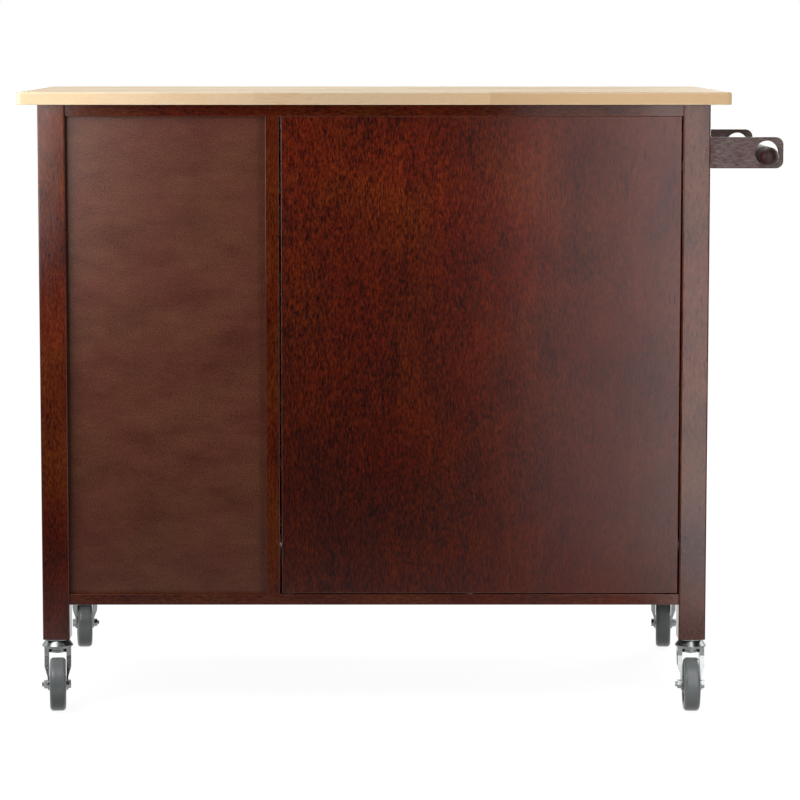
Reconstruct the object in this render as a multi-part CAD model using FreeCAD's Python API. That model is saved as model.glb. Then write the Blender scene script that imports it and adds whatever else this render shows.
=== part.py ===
import FreeCAD, Part
import math
import os

# Kitchen cart: a pale wooden worktop on a dark stained frame with four legs, a wide cupboard bay
# under a drawer, a narrow shelf bay under a second drawer, a towel bar and four swivel casters.
# Lengths are millimetres. The front faces -Y, left and right are as seen from the front, and
# heights are above the floor.

# Worktop, with what it stands out past the frame
worktop_end_overhang = 26.5
worktop_side_overhang = 24.0
worktop_thickness = 17.0
worktop_height = 870.0
worktop_corner = 7.0
worktop_edge_round = 1.6

# Frame of four square legs
frame_length = 935.0
frame_depth = 452.0
leg_side = 38.0
leg_round = 2.2
board_setback = 4.0
board_edge_round = 0.8

# Boards between the legs
leg_below_board = 49.6
bottom_board_thickness = 15.0
stretcher_thickness = 16.5
stretcher_depth = 70.0
side_panel_thickness = 15.0
partition_thickness = 19.0
partition_offset = 142.0
wide_back_thickness = 12.0
wide_back_leg_gap = 1.8
wide_back_partition_gap = 2.8
wide_back_bottom_gap = 1.5
narrow_back_thickness = 5.0
narrow_back_recess = 9.0

# Front openings
front_setback = 1.0
front_thickness = 18.0
front_gap = 2.5
front_edge_round = 1.2
drawer_opening_height = 128.0
drawer_rail_thickness = 18.0
drawer_rail_depth = 60.0

# Shelves and their pins
shelf_thickness = 15.0
shelf_end_gap = 1.0
shelf_front_clearance = 12.0
shelf_back_clearance = 4.0
narrow_shelf_setback = 6.0
shelf_pin_radius = 2.5
shelf_pin_depth = 8.0
shelf_pin_reach = 9.0
shelf_pin_spread = 260.0
shelf_hole_pitch = 32.0
shelf_hole_count = 3
wide_shelf_height_shares = [0.48]
narrow_shelf_height_shares = [0.33, 0.67]

# Drawer boxes and the runners that carry them
drawer_side_thickness = 12.0
drawer_box_lift = 12.0
drawer_box_headroom = 24.0
drawer_back_clearance = 21.0
drawer_bottom_thickness = 5.0
drawer_bottom_rise = 8.0
panel_groove_depth = 5.5
panel_fit = 0.1
runner_side_gap = 2.5
runner_height = 12.0
runner_groove_depth = 6.5
runner_end_gap = 0.5
runner_back_gap = 3.0
runner_slack = 0.5
running_gap = 0.3

# Doors
door_stile_width = 52.0
door_panel_thickness = 6.0
door_panel_groove = 8.0
catch_length = 34.0
catch_height = 13.0
catch_depth = 15.0
catch_inset = 12.0

# Door hinges
hinge_height = 50.0
hinge_leaf_width = 20.0
hinge_leaf_thickness = 0.9
hinge_barrel_radius = 3.2
hinge_pin_radius = 1.3
hinge_pin_cap_radius = 2.3
hinge_pin_cap_height = 1.6
hinge_inset = 75.0
hinge_knuckle_share = 0.34
hinge_knuckle_gap = 0.3
hinge_barrel_gap = 0.3

# Knobs
knob_radius = 15.0
knob_projection = 24.0
knob_base_radius = 8.5
knob_base_height = 2.5
knob_neck_radius = 5.5
knob_head_height = 11.0
knob_head_shares = [(0.0, 0.37), (0.2, 0.8), (0.5, 1.0), (0.8, 0.85), (1.0, 0.45), (1.0, 0.0)]
knob_screw_radius = 2.0
knob_screw_head_radius = 4.2
knob_screw_head_height = 2.4
wide_knob_spacing = 300.0
door_knob_drop = 62.0

# Towel bar and its two brackets on the left side
bracket_height = 43.5
bracket_thickness = 15.0
bracket_reach = 106.0
bracket_middle_drop = 68.4
bracket_corner = 10.5
bracket_edge_round = 0.8
bar_radius = 13.2
bar_neck_depth = 0.9
bar_hole_slack = 3.8
bar_hole_from_end = 22.8
bar_neck_slack = 1.5
bar_overrun = 37.0
bar_end_round = 12.4

# Screws
screw_radius = 2.0
screw_head_radius = 4.0
screw_head_height = 2.6
screw_bite = 11.0
bracket_screw_bite = 22.0
bracket_screw_spread = 24.0
worktop_screw_spread_shares = [-0.42, 0.0, 0.42]

# Casters
caster_trail = 24.5
wheel_top_clearance = 2.9
stem_radius = 5.5
stem_length = 38.0
cap_plate_radius = 16.5
cap_plate_height = 2.0
cap_radius = 22.0
cap_slope_height = 7.4
cap_rim_height = 1.8
king_pin_radius = 6.0
king_head_radius = 9.0
king_head_height = 2.2
crown_height = 7.5
crown_overhang = 2.2
crown_rim_height = 1.4
crown_foot_radius = 15.4
crown_foot_height = 2.2
crown_neck_radius = 13.4
crown_neck_height = 4.4
fork_plate = 2.3
fork_side_width = 26.0
fork_flange_reach = 4.3
fork_flange_drop = 26.0
fork_flange_taper = 14.0
fork_boss_radius = 8.5
fork_shoulder_drop = 12.0
wheel_radius = 37.5
wheel_width = 22.6
wheel_shoulder = 5.4
wheel_rim = 8.0
wheel_recess = 3.5
wheel_hub_radius = 11.0
wheel_hub_stand = 0.6
axle_radius = 3.5
axle_hex_flats = 11.0
axle_head_height = 3.9
axle_nut_height = 5.0
axle_bolt_overrun = 3.0
axle_fit = 0.05

# Directions that the four casters trail in at rest, as turns from straight back
back_right_heading_deg = 5.4
back_left_heading_deg = -2.0
front_right_heading_deg = 187.0
front_left_heading_deg = 175.0

# Brake levers of the two front casters, with places measured from the axle and the tread's top
brake_pivot_behind = 7.5
brake_pivot_rise = 5.0
brake_ear_radius = 5.5
brake_pin_radius = 2.5
brake_pin_head_radius = 3.6
brake_pin_head_height = 1.4
brake_tube_radius = 4.2
brake_lever_side_gap = 1.0
brake_plate = 2.4
brake_pedal_length = 30.0
brake_pedal_width = 33.0
brake_pedal_gap = 2.0
brake_pedal_drop = 6.0
brake_lip_length = 8.0
brake_lip_rise = 4.0
brake_shoe_behind = 24.0
brake_shoe_width = 3.5
brake_shoe_gap = 3.3

# One overrun serves every cut, and edges flatter than the flat limit count as flat
overrun = 2.0
flat_limit = 0.1
parallel_share = 0.999
round_head_share = 0.6

V = FreeCAD.Vector
X = V(1, 0, 0)
Y = V(0, 1, 0)
Z = V(0, 0, 1)

# Planes that the pieces share, worked out from the sizes above
half_length = frame_length / 2
half_depth = frame_depth / 2
worktop_length = frame_length + 2 * worktop_end_overhang
worktop_depth = frame_depth + 2 * worktop_side_overhang
swivel_height = crown_height + cap_rim_height + cap_slope_height + cap_plate_height + 2 * running_gap
caster_height = 2 * wheel_radius + wheel_top_clearance + king_head_height + swivel_height
bottom_board_underside = caster_height + leg_below_board
inner_x = half_length - leg_side
inner_y = half_depth - leg_side
board_y = half_depth - board_setback
leg_top = worktop_height - worktop_thickness
ceiling = leg_top - stretcher_thickness
floor_top = bottom_board_underside + bottom_board_thickness
partition_left = partition_offset - partition_thickness / 2
partition_right = partition_offset + partition_thickness / 2
drawer_rail_top = ceiling - drawer_opening_height
door_opening_top = drawer_rail_top - drawer_rail_thickness
front_y = -(half_depth - front_setback)
front_back_y = front_y + front_thickness
wide_back_inner_y = board_y - wide_back_thickness
narrow_back_outer_y = board_y - narrow_back_recess
narrow_back_inner_y = narrow_back_outer_y - narrow_back_thickness
drawer_box_height = drawer_opening_height - drawer_box_lift - drawer_box_headroom
drawer_box_back = wide_back_inner_y - drawer_back_clearance
bracket_end_x = -(half_length + bracket_reach)
bracket_middle_height = leg_top - bracket_middle_drop
bar_neck_radius = bar_radius - bar_neck_depth
bar_hole_radius = bar_radius + bar_hole_slack
bar_x = bracket_end_x + bar_hole_from_end
bar_z = bracket_middle_height - bar_hole_radius + running_gap + bar_neck_radius
knob_screw_length = front_thickness + knob_projection / 2
crown_top = caster_height - cap_plate_height - cap_slope_height - cap_rim_height - running_gap
crown_bottom = crown_top - crown_height
fork_axle_width = wheel_width + 2 * (wheel_hub_stand + running_gap + fork_plate)
fork_width = fork_axle_width + 2 * fork_flange_reach
crown_radius = fork_width / 2 + crown_overhang
brake_pivot_trail = caster_trail + brake_pivot_behind
brake_shoe_trail = caster_trail + brake_shoe_behind
brake_pivot_height = 2 * wheel_radius + brake_pivot_rise
brake_lever_width = fork_axle_width - 2 * fork_plate - 2 * brake_lever_side_gap

pieces = {}


def box(x0, x1, y0, y1, z0, z1):
    """Block between two opposite corners."""
    return Part.makeBox(x1 - x0, y1 - y0, z1 - z0, V(x0, y0, z0))


def edges_along(shape, direction):
    """Straight edges of a shape that run along a direction."""
    found = []
    for edge in shape.Edges:
        if len(edge.Vertexes) == 2:
            run = edge.Vertexes[1].Point - edge.Vertexes[0].Point
            if abs(run.dot(direction)) > parallel_share * run.Length:
                found.append(edge)
    return found


def eased(shape, radius, directions):
    """Shape with its straight edges along the given directions rounded."""
    edges = []
    for direction in directions:
        edges = edges + edges_along(shape, direction)
    return shape.makeFillet(radius, edges)


def board(x0, x1, y0, y1, z0, z1, directions=(X,)):
    """Plain board with its long edges eased."""
    return eased(box(x0, x1, y0, y1, z0, z1), board_edge_round, directions)


def prism(points, direction, reach):
    """Flat outline pushed both ways along a direction, reach to each side."""
    moved = [point - direction * reach for point in points]
    face = Part.Face(Part.makePolygon(moved + moved[:1]))
    return face.extrude(direction * 2 * reach)


def turned(points, start, direction):
    """Solid of revolution about a line; points are (distance along it, radius)."""
    profile = [V(radius, 0, along) for along, radius in points]
    face = Part.Face(Part.makePolygon(profile + profile[:1]))
    solid = face.revolve(V(0, 0, 0), Z, 360)
    solid.Placement = FreeCAD.Placement(start, FreeCAD.Rotation(Z, direction))
    return solid


def mirrored_x(shape):
    """Mirror image across the middle plane of the frame."""
    return shape.mirror(V(0, 0, 0), X)


def keep(name, solids):
    """Remember the solids of one named piece, or of one group of identical pieces."""
    pieces[name] = solids


def screw(head_point, direction, head_radius, head_height, shank_radius, length):
    """Round-headed screw; its head stands behind head_point and its shank runs along direction."""
    outline = [(-head_height, 0), (-head_height, head_radius * round_head_share),
               (-head_height / 2, head_radius), (0, head_radius), (0, shank_radius),
               (length, shank_radius), (length, 0)]
    return turned(outline, head_point, direction)


def rod(start, direction, radius, length):
    """Plain cylinder, which also serves as the tool for a round hole."""
    return Part.makeCylinder(radius, length, start, direction)


def worktop_screw_places():
    """Underside points of the stretchers where screws go up into the worktop."""
    places = []
    for side in (-1, 1):
        for share in worktop_screw_spread_shares:
            places.append(V(share * frame_length, side * (board_y - stretcher_depth / 2), ceiling))
    return places


def worktop():
    """Solid wood top with rounded corners, small eased edges and pilot holes below."""
    half_x = worktop_length / 2
    half_y = worktop_depth / 2
    top = box(-half_x, half_x, -half_y, half_y, leg_top, worktop_height)
    top = eased(top, worktop_corner, (Z,))
    rims = [edge for edge in top.Edges if edge.BoundBox.ZLength < flat_limit]
    top = top.makeFillet(worktop_edge_round, rims)
    for place in worktop_screw_places():
        top = top.cut(rod(place, Z, screw_radius + axle_fit, stretcher_thickness + screw_bite + panel_fit))
    keep("worktop", [top])
    screws = []
    for place in worktop_screw_places():
        length = stretcher_thickness + screw_bite
        screws.append(screw(place, Z, screw_head_radius, screw_head_height, screw_radius, length))
    keep("worktop_screws", screws)


def bracket_screw_places(side):
    """Points on a bracket's free face where its screws enter; side is -1 at the front leg."""
    place_x = -(inner_x + side_panel_thickness + half_length) / 2
    place_y = side * (inner_y - bracket_thickness)
    places = []
    for step in (-1, 1):
        places.append(V(place_x, place_y, bracket_middle_height + step * bracket_screw_spread / 2))
    return places


def legs():
    """Four square legs, each bored below for its caster stem; the left two hold bracket screws."""
    for side_x, word_x in ((-1, "left"), (1, "right")):
        for side_y, word_y in ((-1, "front"), (1, "back")):
            x = sorted((side_x * inner_x, side_x * half_length))
            y = sorted((side_y * inner_y, side_y * half_depth))
            leg = box(x[0], x[1], y[0], y[1], caster_height, leg_top)
            leg = eased(leg, leg_round, (Z,))
            rims = [edge for edge in leg.Edges if edge.BoundBox.ZMax < caster_height + flat_limit]
            leg = leg.makeFillet(board_edge_round, rims)
            axis = V(sum(x) / 2, sum(y) / 2, caster_height)
            bore_depth = stem_length + overrun + panel_fit
            leg = leg.cut(rod(axis - Z * overrun, Z, stem_radius + axle_fit, bore_depth))
            if side_x < 0:
                for place in bracket_screw_places(side_y):
                    bite = bracket_thickness + bracket_screw_bite + panel_fit
                    leg = leg.cut(rod(place, Y * side_y, screw_radius + axle_fit, bite))
            keep("leg_%s_%s" % (word_y, word_x), [leg])


def shelf_levels(height_shares):
    """Undersides of the shelves of a bay, as heights."""
    span = door_opening_top - floor_top
    return [floor_top + share * span for share in height_shares]


def pin_holes(x, direction, levels):
    """Rows of blind holes for shelf pins in an upright that faces a bay."""
    tools = []
    for level in levels:
        for step in range(shelf_hole_count):
            height = level - shelf_pin_radius + (step - (shelf_hole_count - 1) / 2) * shelf_hole_pitch
            for side in (-1, 1):
                start = V(x, side * shelf_pin_spread / 2, height)
                tools.append(rod(start, direction, shelf_pin_radius + axle_fit,
                                 shelf_pin_depth + panel_fit))
    return tools


def uprights():
    """Side panels between the legs and the partition between the bays, bored for shelf pins."""
    wide_levels = shelf_levels(wide_shelf_height_shares)
    narrow_levels = shelf_levels(narrow_shelf_height_shares)
    outer_x = inner_x + side_panel_thickness
    left = box(-outer_x, -inner_x, -inner_y, inner_y, bottom_board_underside, leg_top)
    right = mirrored_x(left)
    middle = board(partition_left, partition_right, -board_y, board_y, floor_top, ceiling, (Z,))
    for tool in pin_holes(-inner_x, -X, wide_levels):
        left = left.cut(tool)
    for tool in pin_holes(inner_x, X, narrow_levels):
        right = right.cut(tool)
    for tool in pin_holes(partition_left, X, wide_levels) + pin_holes(partition_right, -X, narrow_levels):
        middle = middle.cut(tool)
    keep("side_panel_left", [left])
    keep("side_panel_right", [right])
    keep("partition", [middle])


def level_boards():
    """Bottom board, top stretchers, drawer rail and the fixed board over the shelf bay."""
    keep("bottom_board", [board(-inner_x, inner_x, -board_y, board_y, bottom_board_underside, floor_top)])
    for side, word in ((-1, "front"), (1, "back")):
        y = sorted((side * board_y, side * (board_y - stretcher_depth)))
        stretcher = board(-inner_x, inner_x, y[0], y[1], ceiling, leg_top)
        for place in worktop_screw_places():
            stretcher = stretcher.cut(rod(place, Z, screw_radius + axle_fit, stretcher_thickness))
        keep("top_stretcher_%s" % word, [stretcher])
    rail_back = -board_y + drawer_rail_depth
    rail = board(-inner_x, partition_left, -board_y, rail_back, door_opening_top, drawer_rail_top)
    keep("drawer_rail", [rail])
    fixed = board(partition_right, inner_x, -board_y, narrow_back_inner_y,
                  door_opening_top, drawer_rail_top)
    keep("shelf_bay_top_board", [fixed])


def back_panels():
    """Finished panel flush with the frame behind the wide bay, thin recessed one behind the other."""
    wide = box(-inner_x + wide_back_leg_gap, partition_left - wide_back_partition_gap,
               wide_back_inner_y, board_y, floor_top + wide_back_bottom_gap, ceiling)
    keep("wide_back_panel", [eased(wide, board_edge_round, (X, Z))])
    narrow = box(partition_right, inner_x, narrow_back_inner_y, narrow_back_outer_y, floor_top, ceiling)
    keep("narrow_back_panel", [narrow])


def shelves():
    """Adjustable shelves of both bays on round pins."""
    pins = []
    bays = [(-inner_x, partition_left, wide_shelf_height_shares, front_back_y + shelf_front_clearance,
             wide_back_inner_y - shelf_back_clearance),
            (partition_right, inner_x, narrow_shelf_height_shares, -board_y + narrow_shelf_setback,
             narrow_back_inner_y - shelf_back_clearance)]
    shelf_groups = []
    for left_x, right_x, shares, y0, y1 in bays:
        group = []
        for level in shelf_levels(shares):
            group.append(board(left_x + shelf_end_gap, right_x - shelf_end_gap, y0, y1,
                               level, level + shelf_thickness))
            for side in (-1, 1):
                for x, direction in ((left_x, X), (right_x, -X)):
                    start = V(x, side * shelf_pin_spread / 2, level - shelf_pin_radius)
                    start = start - direction * shelf_pin_depth
                    pins.append(rod(start, direction, shelf_pin_radius, shelf_pin_depth + shelf_pin_reach))
        shelf_groups.append(group)
    keep("cupboard_shelf", shelf_groups[0])
    keep("shelf_bay_shelves", shelf_groups[1])
    keep("shelf_pins", pins)


def runner_level():
    """Underside of the runners, which sit at half the height of the drawer boxes."""
    return drawer_rail_top + drawer_box_lift + (drawer_box_height - runner_height) / 2


def runners():
    """Four wooden runners: one pair on the legs and partition for each drawer."""
    width = runner_side_gap + runner_groove_depth - runner_slack
    level = runner_level()
    y0 = front_back_y + runner_end_gap
    y1 = narrow_back_inner_y - runner_back_gap
    solids = []
    for left_x, right_x in ((-inner_x, partition_left), (partition_right, inner_x)):
        for x0, x1 in ((left_x, left_x + width), (right_x - width, right_x)):
            solids.append(box(x0, x1, y0, y1, level, level + runner_height))
    keep("drawer_runners", solids)


def knob(place):
    """Turned knob on a front at place, with the screw that holds it from behind."""
    neck_end = knob_projection - knob_head_height
    outline = [(0, 0), (0, knob_base_radius), (knob_base_height, knob_base_radius),
               (knob_base_height * 2, knob_neck_radius)]
    for along_share, radius_share in knob_head_shares:
        outline.append((neck_end + along_share * knob_head_height, radius_share * knob_radius))
    head = turned(outline, place, -Y)
    head_point = place + Y * front_thickness
    head = head.cut(rod(head_point, -Y, knob_screw_radius + axle_fit, knob_screw_length + panel_fit))
    fixing = screw(head_point, -Y, knob_screw_head_radius, knob_screw_head_height,
                   knob_screw_radius, knob_screw_length)
    return [head, fixing]


def knob_hole(place):
    """Tool for the hole that a knob's screw passes through."""
    return rod(place - Y * overrun, Y, knob_screw_radius + axle_fit, front_thickness + 2 * overrun)


def drawer(name, left_x, right_x, knob_xs):
    """Inset drawer: front, two sides, back, let-in bottom and its knobs."""
    front = box(left_x + front_gap, right_x - front_gap, front_y, front_back_y,
                drawer_rail_top + front_gap, ceiling - front_gap)
    front = eased(front, front_edge_round, (X, Z))
    box_left = left_x + runner_side_gap
    box_right = right_x - runner_side_gap
    box_bottom = drawer_rail_top + drawer_box_lift
    box_top = box_bottom + drawer_box_height
    bottom_level = box_bottom + drawer_bottom_rise
    bottom_top = bottom_level + drawer_bottom_thickness
    inside_left = box_left + drawer_side_thickness
    inside_right = box_right - drawer_side_thickness
    bottom = box(inside_left - panel_groove_depth, inside_right + panel_groove_depth,
                 front_back_y - panel_groove_depth, drawer_box_back, bottom_level, bottom_top)
    groove_reach = panel_groove_depth + panel_fit
    groove = box(inside_left - groove_reach, inside_right + groove_reach,
                 front_back_y - groove_reach, drawer_box_back + overrun,
                 bottom_level - panel_fit, bottom_top + panel_fit)
    runner_z = runner_level()
    slot_z = (runner_z - running_gap, runner_z + runner_height + running_gap)
    sides = []
    left_slot = (box_left - overrun, box_left + runner_groove_depth)
    right_slot = (box_right - runner_groove_depth, box_right + overrun)
    for x0, x1, slot_x in ((box_left, inside_left, left_slot), (inside_right, box_right, right_slot)):
        side = box(x0, x1, front_back_y, drawer_box_back, box_bottom, box_top)
        side = side.cut(box(*slot_x, front_back_y - overrun, drawer_box_back + overrun, *slot_z))
        sides.append(side.cut(groove))
    back = box(inside_left, inside_right, drawer_box_back - drawer_side_thickness, drawer_box_back,
               bottom_top + panel_fit, box_top)
    front = front.cut(groove)
    knobs = []
    for x in knob_xs:
        place = V(x, front_y, (drawer_rail_top + ceiling) / 2)
        front = front.cut(knob_hole(place))
        knobs = knobs + knob(place)
    keep(name + "_front", [front])
    keep(name + "_sides", sides)
    keep(name + "_back", [back])
    keep(name + "_bottom", [bottom])
    keep(name + ("_knobs" if len(knob_xs) > 1 else "_knob"), knobs)


def drawers():
    """The wide drawer with two knobs and the narrow one with a single knob."""
    middle = (partition_left - inner_x) / 2
    drawer("wide_drawer", -inner_x, partition_left,
           [middle - wide_knob_spacing / 2, middle + wide_knob_spacing / 2])
    drawer("narrow_drawer", partition_right, inner_x, [(partition_right + inner_x) / 2])


def hinge_levels():
    """Middle heights of a door's two hinges."""
    return [floor_top + front_gap + hinge_inset, door_opening_top - front_gap - hinge_inset]


def hinge_pin(foot):
    """Pin through a hinge's knuckles with a rounded cap at each end; foot is the barrel's lower end."""
    cap = hinge_pin_cap_height
    crown = hinge_pin_cap_radius * round_head_share
    outline = [(-cap, 0), (-cap, crown), (-cap / 2, hinge_pin_cap_radius), (0, hinge_pin_cap_radius),
               (0, hinge_pin_radius), (hinge_height, hinge_pin_radius),
               (hinge_height, hinge_pin_cap_radius), (hinge_height + cap / 2, hinge_pin_cap_radius),
               (hinge_height + cap, crown), (hinge_height + cap, 0)]
    return turned(outline, foot, Z)


def hinge_parts(carcass_x, inward):
    """Frame leaves, door leaves and pins of one door; inward points from the carcass to the door."""
    axis_x = carcass_x + inward * front_gap / 2
    axis_y = -(half_depth + hinge_barrel_radius + hinge_barrel_gap)
    frame_leaves = []
    door_leaves = []
    pins = []
    knuckle = hinge_height * hinge_knuckle_share
    for level in hinge_levels():
        low = level - hinge_height / 2
        axis = V(axis_x, axis_y, low)
        barrel = rod(axis, Z, hinge_barrel_radius, hinge_height)
        around = (axis_x - leg_side, axis_x + leg_side, axis_y - leg_side, axis_y + leg_side)
        freed = knuckle / 2 + hinge_knuckle_gap
        middle_band = box(*around, level - knuckle / 2, level + knuckle / 2)
        freed_band = box(*around, level - freed, level + freed)
        below = axis - Z * overrun
        bore = rod(below, Z, hinge_pin_radius + axle_fit, hinge_height + 2 * overrun)
        sweep = rod(below, Z, hinge_barrel_radius + hinge_barrel_gap, hinge_height + 2 * overrun)
        frame_x = sorted((carcass_x, carcass_x + inward * hinge_leaf_thickness))
        door_edge = carcass_x + inward * front_gap
        door_x = sorted((door_edge, door_edge - inward * hinge_leaf_thickness))
        leaf_back = axis_y + hinge_leaf_width
        frame_leaf = box(*frame_x, axis_y, leaf_back, low, low + hinge_height)
        frame_leaf = frame_leaf.fuse(barrel)
        frame_leaf = frame_leaf.cut(sweep.common(freed_band))
        door_leaf = box(*door_x, axis_y, leaf_back, low, low + hinge_height)
        door_leaf = door_leaf.cut(sweep)
        door_leaf = door_leaf.fuse(barrel.common(middle_band))
        link = box(*door_x, axis_y, leaf_back, level - knuckle / 2, level + knuckle / 2)
        door_leaf = door_leaf.fuse(link)
        frame_leaves.append(frame_leaf.cut(bore).removeSplitter())
        door_leaves.append(door_leaf.cut(bore).removeSplitter())
        pins.append(hinge_pin(axis))
    return frame_leaves, door_leaves, pins


def door(name, left_x, right_x, knob_x):
    """Inset framed door: two stiles and two rails around a flat panel, and its knob."""
    low = floor_top + front_gap
    high = door_opening_top - front_gap
    inside = (left_x + door_stile_width, right_x - door_stile_width, low + door_stile_width,
              high - door_stile_width)
    middle_y = (front_y + front_back_y) / 2
    slabs = []
    for play in (0, panel_fit):
        reach = door_panel_groove + play
        half = door_panel_thickness / 2 + play
        slabs.append(box(inside[0] - reach, inside[1] + reach, middle_y - half, middle_y + half,
                         inside[2] - reach, inside[3] + reach))
    panel, groove = slabs
    place = V(knob_x, front_y, high - door_knob_drop)
    frame = []
    for x0, x1 in ((left_x, inside[0]), (inside[1], right_x)):
        stile = eased(box(x0, x1, front_y, front_back_y, low, high), front_edge_round, (Z,))
        frame.append(stile.cut(groove).cut(knob_hole(place)))
    for z0, z1 in ((low, inside[2]), (inside[3], high)):
        rail = eased(box(inside[0], inside[1], front_y, front_back_y, z0, z1), front_edge_round, (X,))
        frame.append(rail.cut(groove))
    keep(name + "_frame", frame)
    keep(name + "_panel", [panel])
    keep(name + "_knob", knob(place))


def doors():
    """The pair of cupboard doors with their hinges and the catches under the drawer rail."""
    left_edge = -inner_x + front_gap
    right_edge = partition_left - front_gap
    middle = (left_edge + right_edge) / 2
    knob_inset = front_gap / 2 + door_stile_width / 2
    door("left_door", left_edge, middle - front_gap / 2, middle - knob_inset)
    door("right_door", middle + front_gap / 2, right_edge, middle + knob_inset)
    left_frame, left_leaves, left_pins = hinge_parts(-inner_x, 1)
    right_frame, right_leaves, right_pins = hinge_parts(partition_left, -1)
    keep("hinge_frame_leaves", left_frame + right_frame)
    keep("hinge_pins", left_pins + right_pins)
    keep("left_door_hinge_leaves", left_leaves)
    keep("right_door_hinge_leaves", right_leaves)
    catches = []
    for side in (-1, 1):
        x = sorted((middle + side * catch_inset, middle + side * (catch_inset + catch_length)))
        y0 = front_back_y + running_gap
        catches.append(eased(box(x[0], x[1], y0, y0 + catch_depth, door_opening_top - catch_height,
                                 door_opening_top), board_edge_round, (Z,)))
    keep("door_catches", catches)


def towel_bar():
    """Two brackets screwed to the left legs and the loose bar that lies in their oversize holes."""
    inner_end = -(inner_x + side_panel_thickness)
    low = bracket_middle_height - bracket_height / 2
    high = bracket_middle_height + bracket_height / 2
    screws = []
    for side, word in ((-1, "front"), (1, "back")):
        y = sorted((side * inner_y, side * (inner_y - bracket_thickness)))
        bracket = box(bracket_end_x, inner_end, y[0], y[1], low, high)
        outer = [edge for edge in edges_along(bracket, Y) if edge.BoundBox.XMax < bar_x]
        bracket = bracket.makeFillet(bracket_corner, outer)
        rims = [edge for edge in bracket.Edges
                if edge.BoundBox.YLength < flat_limit and edge.BoundBox.XMin < inner_end - flat_limit]
        bracket = bracket.makeFillet(bracket_edge_round, rims)
        hole = rod(V(bar_x, y[0] - overrun, bracket_middle_height), Y, bar_hole_radius,
                   bracket_thickness + 2 * overrun)
        bracket = bracket.cut(hole)
        for place in bracket_screw_places(side):
            bracket = bracket.cut(rod(place, Y * side, screw_radius + axle_fit, bracket_thickness))
            screws.append(screw(place, Y * side, screw_head_radius, screw_head_height, screw_radius,
                                bracket_thickness + bracket_screw_bite))
        keep("towel_bar_bracket_%s" % word, [bracket])
    keep("bracket_screws", screws)
    half_bar = inner_y + bar_overrun
    bar = rod(V(bar_x, -half_bar, bar_z), Y, bar_radius, 2 * half_bar)
    bar = bar.makeFillet(bar_end_round, [edge for edge in bar.Edges if edge.BoundBox.YLength < flat_limit])
    for side in (-1, 1):
        y = sorted((side * (inner_y + bar_neck_slack),
                    side * (inner_y - bracket_thickness - bar_neck_slack)))
        sleeve = rod(V(bar_x, y[0], bar_z), Y, bar_radius + overrun, y[1] - y[0])
        neck = rod(V(bar_x, y[0], bar_z), Y, bar_neck_radius, y[1] - y[0])
        bar = bar.cut(sleeve.cut(neck))
    keep("towel_bar", [bar])


def caster_stem():
    """Stem, swivel cap and riveted king pin of one caster, with the swivel axis at the origin."""
    cap_low = crown_top + running_gap
    rivet_top = crown_bottom - running_gap
    rivet_low = rivet_top - king_head_height
    rim_top = cap_low + cap_rim_height
    slope_top = rim_top + cap_slope_height
    outline = [(rivet_low, 0), (rivet_low, king_head_radius * round_head_share),
               (rivet_top, king_head_radius), (rivet_top, king_pin_radius),
               (cap_low, king_pin_radius), (cap_low, cap_radius),
               (rim_top, cap_radius), (slope_top, cap_plate_radius),
               (caster_height, cap_plate_radius), (caster_height, stem_radius),
               (caster_height + stem_length, stem_radius), (caster_height + stem_length, 0)]
    return turned(outline, V(0, 0, 0), Z)


def fork_drill(y, z, radius):
    """Cylinder across the whole fork and a little past it, about a line along X."""
    start = -fork_width / 2 - overrun
    return rod(V(start, y, z), X, radius, fork_width + 2 * overrun)


def fork_side_view(inset):
    """Block across the whole fork with its side plates' outline, drawn in at the edges by an inset."""
    edge = fork_side_width / 2 - inset
    boss = fork_boss_radius - inset
    shoulder = crown_top - fork_shoulder_drop
    outline = [V(0, -edge, crown_top), V(0, edge, crown_top), V(0, edge, shoulder),
               V(0, caster_trail + boss, wheel_radius), V(0, caster_trail - boss, wheel_radius),
               V(0, -edge, shoulder)]
    return prism(outline, X, fork_width / 2 + overrun).fuse(fork_drill(caster_trail, wheel_radius, boss))


def brake_ear():
    """Block across the whole fork with the outline of the ears that hold the brake's pin."""
    edge = fork_side_width / 2
    shoulder = crown_top - fork_shoulder_drop
    outline = [V(0, 0, crown_top), V(0, brake_pivot_trail, brake_pivot_height + brake_ear_radius),
               V(0, brake_pivot_trail, brake_pivot_height - brake_ear_radius),
               V(0, edge, shoulder), V(0, 0, shoulder)]
    ear = prism(outline, X, fork_width / 2 + overrun)
    return ear.fuse(fork_drill(brake_pivot_trail, brake_pivot_height, brake_ear_radius))


def fork_side(with_brake):
    """One pressed side of the fork, on the +X side: a flat plate whose two edges are flanged outwards."""
    half = fork_width / 2
    plate_out = fork_axle_width / 2
    plate_in = plate_out - fork_plate
    flange_low = crown_top - fork_flange_drop
    foot = wheel_radius - fork_boss_radius - overrun
    reach = caster_trail + wheel_radius
    band = [V(plate_in, 0, crown_top), V(half, 0, crown_top), V(half, 0, flange_low),
            V(plate_out, 0, flange_low - fork_flange_taper), V(plate_out, 0, foot), V(plate_in, 0, foot)]
    side = prism(band, Y, reach).common(fork_side_view(0))
    side = side.cut(fork_side_view(fork_plate).common(box(plate_out, half + overrun, -reach, reach, foot,
                                                          crown_bottom)))
    if with_brake:
        side = side.fuse(brake_ear().common(box(plate_in, plate_out, -reach, reach, foot, crown_top)))
    return side


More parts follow.
